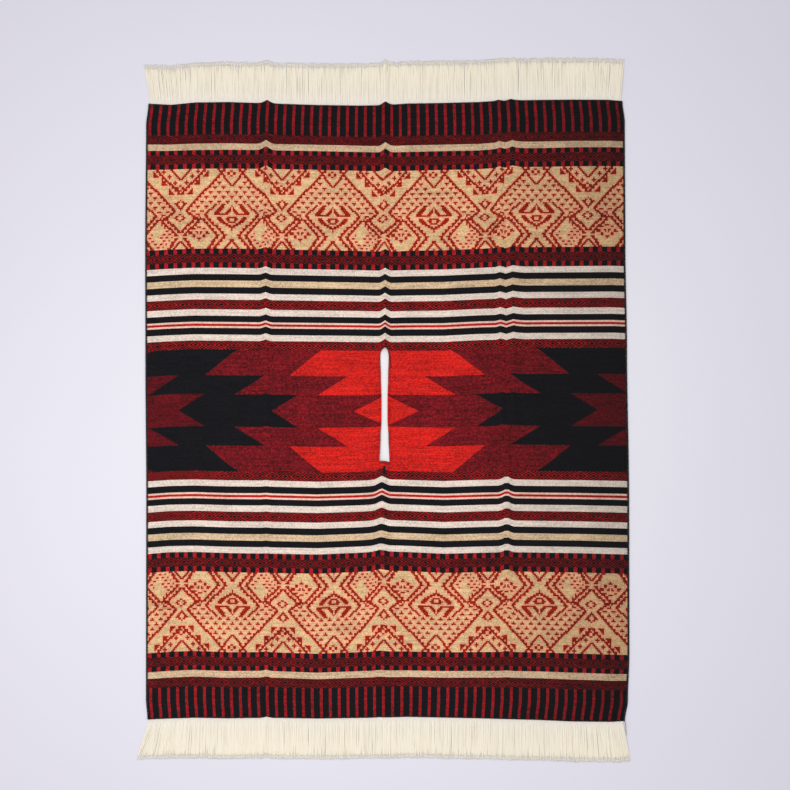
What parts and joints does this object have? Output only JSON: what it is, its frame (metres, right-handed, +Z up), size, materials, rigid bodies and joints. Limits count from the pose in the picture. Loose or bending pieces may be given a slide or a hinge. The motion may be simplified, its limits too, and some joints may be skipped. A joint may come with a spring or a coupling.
{
  "type": "fringed poncho",
  "caption": "Rectangular woven poncho laid out flat, with a lengthwise neck slit, narrow hems, overlocked sides and a yarn fringe along each end.",
  "frame": {"origin": "under the middle of the poncho's footprint, on the surface that it lies on", "axes": "+X across the cloth to its right side, +Y along it to its back end, +Z up from the surface"},
  "size_m": [1.302, 1.8913, 0.02],
  "materials": {
    "woven_cloth": "matt wool-like twill with woven bands",
    "hem": "matt, turned and stitched",
    "overlock": "matt overlock thread",
    "fringe": "fuzzy matt yarn"
  },
  "bodies": {
    "root": {"web_front": "woven_cloth", "web_left_shoulder": "woven_cloth", "web_right_shoulder": "woven_cloth", "web_back": "woven_cloth", "neck_hem_left": "hem", "neck_hem_right": "hem", "side_overlock_left": "overlock", "side_overlock_right": "overlock", "end_hem_back": "hem", "end_hem_front": "hem", "fringe_back": "fringe", "fringe_front": "fringe"}
  },
  "joints": []
}
